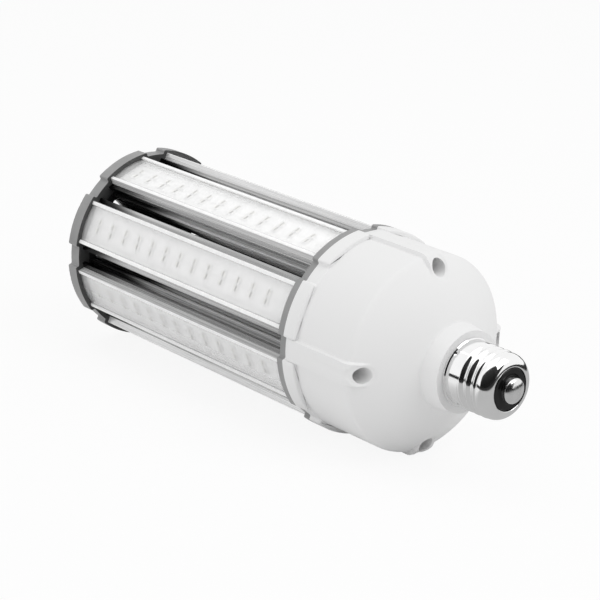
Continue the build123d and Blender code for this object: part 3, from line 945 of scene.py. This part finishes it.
def raise_ribs(bm, sizes):
    """Lift the four ribs off the housing's side, and round the lips of the wells."""
    bm.normal_update()
    inner_edge = sizes.rib_half - sizes.rib_soft / 2
    outer_edge = sizes.rib_half + sizes.rib_soft / 2
    moves = []
    for vert in bm.verts:
        out = math.hypot(vert.co.y, vert.co.z)
        if out < sizes.rib_fade - RIB_MARGIN or vert.co.x < RING_END + WELD:
            continue
        turn = turn_of(vert.co)
        from_rib = math.radians(turn - round(turn / 90) * 90)
        across = out * math.sin(from_rib)
        up = out * math.cos(from_rib)
        if abs(across) > sizes.rib_half + sizes.rib_soft or up < 0:
            continue
        side = 1 - smooth_step(inner_edge, outer_edge, abs(across))
        lift = sizes.rib_height * side * smooth_step(sizes.rib_fade, sizes.rib_end, out)
        if vert.co.x > RING_END + sizes.flange_length + LIP_START:
            from_well = math.hypot(across, up - sizes.well_circle)
            lip = 1 - smooth_step(0, 1, (from_well - sizes.well_radius) / sizes.well_lip)
            lift -= sizes.well_dip * lip
        moves.append((vert, vert.normal * lift))
    for vert, move in moves:
        vert.co += move


class LAMP_OT_housing(PieceOperator, bpy.types.Operator):
    """Build the white driver housing with its ribs, wells, cavity and plug"""

    bl_idname = "lamp.housing"
    bl_label = "Driver Housing"

    def build(self, sizes, colours):
        skin = mesh_of(self.skin(sizes), "housing_skin")
        flange = mesh_of(lobed_plate(sizes, RING_END, RING_END + sizes.flange_length), "flange")
        whole = combined(skin, flange, "UNION")
        cavity = mesh_of(self.cavity(sizes), "cavity")
        posts = mesh_of(self.rods(sizes, RING_END - POST_OVERRUN, NECK_END, sizes.post_radius), "posts")
        whole = combined(whole, combined(cavity, posts, "DIFFERENCE"), "DIFFERENCE")
        well_start = RING_END + sizes.well_floor
        wells = mesh_of(self.rods(sizes, well_start, NECK_END, sizes.well_radius), "wells")
        whole = combined(whole, wells, "DIFFERENCE")
        hole = (RING_END - OVERRUN, RING_END + HOLE_REACH, sizes.screw_hole_radius)
        holes = mesh_of(self.rods(sizes, *hole), "holes")
        whole = combined(whole, holes, "DIFFERENCE")
        whole.name = "housing"
        piece_of(whole, "housing_white", "driver_housing", finish("housing_plastic", colours))

    def skin(self, sizes):
        """The closed outer skin with the plug: its faces are fine at the ribs and coarse between."""
        line = housing_line(sizes, 0, RING_END, NECK_END)
        plug = sizes.root_radius - sizes.shell_thickness - GAP
        line.line(NECK_END, plug)
        line.line(PLUG_END, plug)
        line.line(PLUG_END, 0)
        bm = line.bm
        edges = bm.verts[:] + bm.edges[:]
        bmesh.ops.rotate(bm, cent=(0, 0, 0), matrix=turned(-RIB_SPINS[0][0] / 2), verts=bm.verts)
        for _ in POST_TURNS:
            for degrees, steps in RIB_SPINS:
                angle = math.radians(degrees)
                made = bmesh.ops.spin(
                    bm, geom=edges, cent=(0, 0, 0), axis=(1, 0, 0), angle=angle, steps=steps
                )
                edges = made["geom_last"]
        bmesh.ops.remove_doubles(bm, verts=bm.verts, dist=WELD)
        bmesh.ops.recalc_face_normals(bm, faces=bm.faces)
        raise_ribs(bm, sizes)
        return bm

    def cavity(self, sizes):
        """The room inside the housing, and the bore through its plug."""
        neck = NECK_END - sizes.housing_wall
        line = housing_line(sizes, sizes.housing_wall, RING_END - OVERRUN, neck)
        line.line(neck, sizes.plug_bore)
        line.line(PLUG_END + OVERRUN, sizes.plug_bore)
        line.line(PLUG_END + OVERRUN, 0)
        return line.spin(160)

    def rods(self, sizes, start, end, radius):
        """Four round rods on the circle of the wells."""
        bm = bmesh.new()
        for turn in POST_TURNS:
            place = turned(turn) @ Matrix.Translation(((start + end) / 2, 0, sizes.well_circle))
            bmesh.ops.create_cone(
                bm,
                cap_ends=True,
                segments=72,
                radius1=radius,
                radius2=radius,
                depth=end - start,
                matrix=place @ Matrix.Rotation(math.pi / 2, 4, "Y"),
            )
        return bm


class LAMP_OT_screw_shell(PieceOperator, bpy.types.Operator):
    """Build the threaded screw shell with its collar and rounded nose"""

    bl_idname = "lamp.screw_shell"
    bl_label = "Screw Shell"

    def build(self, sizes, colours):
        lip_end = NECK_END + LIP_LENGTH
        nose_width = sizes.nose_radius - sizes.nose_hole
        stretch = NOSE_LENGTH / nose_width
        line = Outline(NECK_END, sizes.collar_radius - LIP_INSET)
        line.line(NECK_END, sizes.lip_radius - LIP_EDGE, 2)
        line.line(NECK_END + LIP_EDGE, sizes.lip_radius)
        line.line(lip_end, sizes.lip_radius, 2)
        line.line(lip_end + LIP_FALL, sizes.collar_radius, 3)
        line.line(NOSE_START, sizes.collar_radius, 150)
        line.arc(NOSE_START, sizes.collar_radius - nose_width, 86, 22)
        bm = line.spin(216)
        for vert in bm.verts:
            x = vert.co.x
            out = math.hypot(vert.co.y, vert.co.z)
            wanted = out
            if x > NOSE_START - WELD:
                vert.co.x = NOSE_START + (x - NOSE_START) * stretch
                wanted = out - sizes.collar_radius + sizes.nose_radius
            elif x > NECK_END + sizes.thread_start:
                wanted = self.thread(sizes, x, turn_of(vert.co))
            wanted -= self.dent(sizes, x, turn_of(vert.co))
            vert.co.y *= wanted / out
            vert.co.z *= wanted / out
        bmesh.ops.recalc_face_normals(bm, faces=bm.faces)
        mesh = mesh_of(bm, "base_shell")
        piece = piece_of(mesh, "shell_nickel", "screw_shell", finish("nickel_plate", colours))
        wall = piece.modifiers.new("wall", "SOLIDIFY")
        wall.thickness = sizes.shell_thickness
        wall.offset = -1

    def thread(self, sizes, x, turn):
        """Radius of the thread's helix, which rises out of the collar and sinks into the nose."""
        first = NECK_END + sizes.thread_start
        last = NECK_END + sizes.thread_end
        fade = sizes.thread_fade
        phase = (x - first) / sizes.thread_pitch - turn / 360
        middle = (sizes.collar_radius + sizes.root_radius) / 2
        swing = (sizes.collar_radius - sizes.root_radius) / 2
        plain = sizes.collar_radius if x < last - fade else sizes.nose_radius
        share = smooth_step(first, first + fade, x) * (1 - smooth_step(last - fade, last, x))
        return (middle + swing * math.cos(math.tau * phase)) * share + plain * (1 - share)

    def dent(self, sizes, x, turn):
        """Depth of the punches at a place of the shell."""
        depth = 0
        for punch in PUNCH_TURNS:
            side = math.radians((turn - punch + 180) % 360 - 180) * sizes.collar_radius
            away = math.hypot(side, x - NECK_END - sizes.punch_place)
            depth += sizes.punch_depth * (1 - smooth_step(0, sizes.punch_radius, away))
        return depth


class LAMP_OT_insulator(PieceOperator, bpy.types.Operator):
    """Build the black insulator in the nose of the screw shell"""

    bl_idname = "lamp.insulator"
    bl_label = "Base Insulator"

    def build(self, sizes, colours):
        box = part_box("base_insulator")
        back = station(box[0].x)
        front = station(box[1].x)
        wide = (box[1].z - box[0].z) / 2
        rim = sizes.nose_hole - GAP
        rim_back = SHELL_END - sizes.shell_thickness - GAP
        bore = 1.7 * MM
        chamfer = 0.3 * MM
        edge = 0.2 * MM
        line = Outline(back, bore)
        line.line(back, wide - chamfer)
        line.line(back + chamfer, wide)
        line.line(NOSE_START, wide, 4)
        line.line(rim_back, rim + chamfer, 6)
        line.line(rim_back, rim)
        line.line(SHELL_END - edge, rim)
        line.line(SHELL_END, rim - edge)
        line.line(front - edge, sizes.contact_radius + 3 * chamfer, 4)
        line.line(front, sizes.contact_radius + chamfer, 2)
        line.line(front, bore)
        line.close()
        mesh = mesh_of(line.spin(128), "insulator")
        piece_of(mesh, "insulator_black", "base_insulator", finish("black_insulator", colours))


class LAMP_OT_contact(PieceOperator, bpy.types.Operator):
    """Build the domed centre contact"""

    bl_idname = "lamp.contact"
    bl_label = "Centre Contact"

    def build(self, sizes, colours):
        back = station(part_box("centre_contact")[0].x)
        seat = station(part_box("base_insulator")[1].x)
        stem = 1.6 * MM
        chamfer = 0.2 * MM
        side = 1.5 * MM
        crown_start = seat + side
        crown = (TIP - crown_start) / sizes.contact_radius
        line = Outline(back, 0)
        line.line(back, stem - chamfer)
        line.line(back + chamfer, stem)
        line.line(seat, stem)
        line.line(seat, sizes.contact_radius)
        line.line(crown_start, sizes.contact_radius, 3)
        line.arc(crown_start, 0, 90, 24)
        bm = line.spin(96)
        for vert in bm.verts:
            if vert.co.x > crown_start:
                vert.co.x = crown_start + (vert.co.x - crown_start) * crown
        mesh = mesh_of(bm, "contact_button")
        piece_of(mesh, "contact_metal", "centre_contact", finish("contact_tin", colours))


# What stands inside the housing: finish, colour, roughness and what else it has
INSIDE = {
    "driver_board": ("green_resist", (0.05, 0.22, 0.1), 0.35, {"bump": 0.1}),
    "transformer": ("ferrite", (0.08, 0.08, 0.08), 0.7, {"bump": 0.4}),
    "main_capacitor": ("capacitor_sleeve", (0.03, 0.04, 0.06), 0.25, {}),
    "output_capacitor": ("capacitor_sleeve", (0.03, 0.04, 0.06), 0.25, {}),
    "filter_choke": ("choke_wire", (0.7, 0.35, 0.15), 0.3, {"metallic": 1.0, "bump": 0.6}),
    "rectifier": ("epoxy", (0.03, 0.03, 0.03), 0.5, {"bump": 0.3}),
    "power_transistor": ("epoxy", (0.03, 0.03, 0.03), 0.5, {"bump": 0.3}),
    "fuse": ("fuse_body", (0.55, 0.52, 0.45), 0.4, {}),
    "plus_lead": ("red_insulation", (0.5, 0.03, 0.03), 0.45, {"bump": 0.2}),
    "minus_lead": ("black_insulation", (0.03, 0.03, 0.03), 0.45, {"bump": 0.2}),
    "live_lead": ("black_insulation", (0.03, 0.03, 0.03), 0.45, {"bump": 0.2}),
    "neutral_lead": ("white_insulation", (0.8, 0.8, 0.8), 0.45, {"bump": 0.2}),
}


class LAMP_OT_driver(PieceOperator, bpy.types.Operator):
    """Give the driver board, its components and the leads their finishes"""

    bl_idname = "lamp.driver"
    bl_label = "Driver"

    def build(self, sizes, colours):
        for node, (name, colour, roughness, more) in INSIDE.items():
            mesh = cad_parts[node].data
            mesh.materials.clear()
            mesh.materials.append(finish_of(name, colour, roughness, **more))


# ---- Stage ----

CAMERA_PLACE = Vector((0.568771, -0.516882, 0.299341))
CAMERA_RIGHT = Vector((0.654241, 0.754693, 0.049061))
CAMERA_DOWN = Vector((0.268692, -0.171309, -0.94787))
CAMERA_FORWARD = Vector((-0.706947, 0.633318, -0.314857))
CAMERA_LENS = 120.657
FLOOR_REACH = 12.0
FLOOR_WHITE = 0.9
WHITE = (1, 1, 1, 1)
AMBIENT = 0.7
# What metal and gloss mirror of the floor: painted light, a glowing pale sheet that is darker ahead of
# the lamp's middle
SHEET_RADIUS = 0.28
SHEET_END = 1.3 * SHEET_RADIUS
SHEET_NEAR = 0.88
SHEET_AHEAD = 0.5
SHEET_FALL = 80 * MM
FLOOR_AWAY = 0.03
# Dark cards that only reflections show: azimuth, elevation, and half width and height, in degrees
CARD_REACH = 1.6
CARDS = ((-135, -3, 30, 4), (-45, 25, 62, 38), (135, 3, 35, 4))
# Lamps: name, place, size, power, and whether reflections show them
LAMPS = (
    ("key_light", (0.9, 0.35, 1.1), 0.9, 6.2, True),
    ("top_light", (-0.2, -0.2, 1.3), 1.0, 2.5, True),
    ("fill_light", (-0.5, -1.3, 0.2), 1.0, 4.3, False),
)


def aimed(obj, place, target):
    """Put a light or a card at a place, facing a target."""
    obj.location = place
    obj.rotation_mode = "QUATERNION"
    obj.rotation_quaternion = (Vector(target) - Vector(place)).to_track_quat("-Z", "Y")


def mixed_in(tree, place, share, first, second):
    """Mix two nodes' shaders: a share of 0 is the first and 1 the second."""
    shaders = {"second": first.outputs[0], "third": second.outputs[0]}
    return node_in(tree, "ShaderNodeMixShader", place, Fac=share, **shaders)


def sheet_of(name, halves, material):
    """A flat rectangle for the floor or a card."""
    bm = bmesh.new()
    bmesh.ops.create_grid(bm, x_segments=1, y_segments=1, size=1)
    bmesh.ops.scale(bm, vec=(*halves, 1), verts=bm.verts)
    mesh = bpy.data.meshes.new(name)
    bm.to_mesh(mesh)
    bm.free()
    mesh.materials.append(material)
    sheet = bpy.data.objects.new(name, mesh)
    bpy.context.scene.collection.objects.link(sheet)
    return sheet


class LAMP_OT_stage(PieceOperator, bpy.types.Operator):
    """Set up the floor, the lights, the white surround and the camera"""

    bl_idname = "lamp.stage"
    bl_label = "Stage"

    def build(self, sizes, colours):
        self.camera()
        self.surround()
        sheet_of("floor", (FLOOR_REACH / 2, FLOOR_REACH / 2), self.floor_material())
        self.cards()
        self.lights()
        bpy.context.scene.view_settings.view_transform = "Standard"

    def camera(self):
        data = bpy.data.cameras.new("camera")
        data.lens = CAMERA_LENS
        data.sensor_width = 36.0
        data.clip_start = 0.01
        data.clip_end = 50.0
        camera = bpy.data.objects.new("camera", data)
        axes = Matrix((CAMERA_RIGHT, -CAMERA_DOWN, -CAMERA_FORWARD)).transposed()
        camera.matrix_world = Matrix.Translation(CAMERA_PLACE) @ axes.to_4x4()
        bpy.context.scene.collection.objects.link(camera)
        bpy.context.scene.camera = camera

    def surround(self):
        """White to the camera and in reflections, and a plain soft light otherwise."""
        world = bpy.data.worlds.new("white_surround")
        bpy.context.scene.world = world
        world.use_nodes = True
        tree = world.node_tree
        tree.nodes.clear()
        path = node_in(tree, "ShaderNodeLightPath", (-800, 0))
        seen = path.outputs["Is Camera Ray"]
        for name in ("Is Glossy Ray", "Is Transmission Ray"):
            seen = maths_in(tree, (-400, 0), "MAXIMUM", seen, path.outputs[name])
        light = node_in(tree, "ShaderNodeBackground", (0, 0), Color=WHITE, Strength=AMBIENT)
        shown = node_in(tree, "ShaderNodeBackground", (0, -200), Color=WHITE, Strength=1.0)
        mix = mixed_in(tree, (200, 0), seen, light, shown)
        node_in(tree, "ShaderNodeOutputWorld", (400, 0), Surface=mix.outputs["Shader"])

    def floor_material(self):
        """Nearly white to the camera with the lamp's shadow, and in reflections a glowing pale sheet of
        painted light.
        """
        material = bpy.data.materials.new("pale_floor")
        material.use_nodes = True
        tree = material.node_tree
        tree.nodes.clear()
        path = node_in(tree, "ShaderNodeLightPath", (-300, 200)).outputs
        matt = node_in(tree, "ShaderNodeBsdfDiffuse", (0, 0), Color=(0.8, 0.8, 0.8, 1))
        white = node_in(tree, "ShaderNodeEmission", (0, -200), Strength=1.0)
        share = maths_in(tree, (0, 200), "MULTIPLY", path["Is Camera Ray"], FLOOR_WHITE)
        place = object_place(tree, (-900, -400))
        ahead = node_in(tree, "ShaderNodeSeparateXYZ", (-900, -700), Vector=place).outputs["X"]
        fall = range_in(tree, (-600, -700), ahead, 0.0, SHEET_FALL, SHEET_NEAR, SHEET_AHEAD)
        away = maths_in(tree, (-600, -400), "LENGTH", place, kind="ShaderNodeVectorMath")
        sheet = range_in(tree, (-300, -400), away, SHEET_RADIUS, SHEET_END, fall, FLOOR_AWAY)
        mirrored = node_in(tree, "ShaderNodeEmission", (300, -300), Color=sheet, Strength=1.0)
        shown = mixed_in(tree, (300, 0), share, matt, white)
        mix = mixed_in(tree, (600, 0), path["Is Glossy Ray"], shown, mirrored)
        node_in(tree, "ShaderNodeOutputMaterial", (800, 0), Surface=mix.outputs["Shader"])
        return material

    def cards(self):
        """Dark cards round the lamp, as a photographer uses them to draw bright metal."""
        dark = bpy.data.materials.new("dark_card")
        dark.use_nodes = True
        surface = dark.node_tree.nodes["Principled BSDF"]
        surface.inputs["Base Color"].default_value = (0.01, 0.01, 0.01, 1)
        middle = Vector((0, 0, AXIS_Z))
        for number, (azimuth, elevation, wide, high) in enumerate(CARDS, 1):
            halves = [CARD_REACH * math.tan(math.radians(half)) for half in (wide, high)]
            card = sheet_of(f"card_{number}", halves, dark)
            lean = math.radians(elevation)
            turn = math.radians(azimuth)
            out = math.cos(lean)
            way = Vector((math.cos(turn) * out, math.sin(turn) * out, math.sin(lean)))
            aimed(card, middle + way * CARD_REACH, middle)
            card.visible_camera = False
            card.visible_diffuse = False
            card.visible_shadow = False
            card.visible_transmission = False

    def lights(self):
        """A key light on the right, a weaker one from above and a soft one from the front."""
        for name, place, size, power, mirrored in LAMPS:
            data = bpy.data.lights.new(name, "AREA")
            data.shape = "SQUARE"
            data.size = size
            data.energy = power
            light = bpy.data.objects.new(name, data)
            light.visible_glossy = mirrored
            bpy.context.scene.collection.objects.link(light)
            aimed(light, place, (0, 0, AXIS_Z))


# ---- Panel and registration ----

OPERATORS = (
    LAMP_OT_stage,
    LAMP_OT_end_cap,
    LAMP_OT_strips,
    LAMP_OT_boards,
    LAMP_OT_leds,
    LAMP_OT_covers,
    LAMP_OT_core,
    LAMP_OT_end_ring,
    LAMP_OT_screws,
    LAMP_OT_housing,
    LAMP_OT_screw_shell,
    LAMP_OT_insulator,
    LAMP_OT_contact,
    LAMP_OT_driver,
)


class LAMP_PT_panel(bpy.types.Panel):
    """Lists the lamp's pieces"""

    bl_idname = "LAMP_PT_panel"
    bl_label = "LED Post Top Lamp"
    bl_space_type = "VIEW_3D"
    bl_region_type = "UI"
    bl_category = "Lamp"

    def draw(self, context):
        for operator in OPERATORS:
            self.layout.operator(operator.bl_idname)


CLASSES = (LampSizes, LampColours, *OPERATORS, LAMP_PT_panel)


def register():
    for cls in CLASSES:
        bpy.utils.register_class(cls)
    bpy.types.Scene.lamp_sizes = bpy.props.PointerProperty(type=LampSizes)
    bpy.types.Scene.lamp_colours = bpy.props.PointerProperty(type=LampColours)


def unregister():
    del bpy.types.Scene.lamp_sizes
    del bpy.types.Scene.lamp_colours
    for cls in reversed(CLASSES):
        bpy.utils.unregister_class(cls)


def main():
    register()
    for operator in OPERATORS:
        group, name = operator.bl_idname.split(".")
        getattr(getattr(bpy.ops, group), name)()


if __name__ == "__main__":
    main()
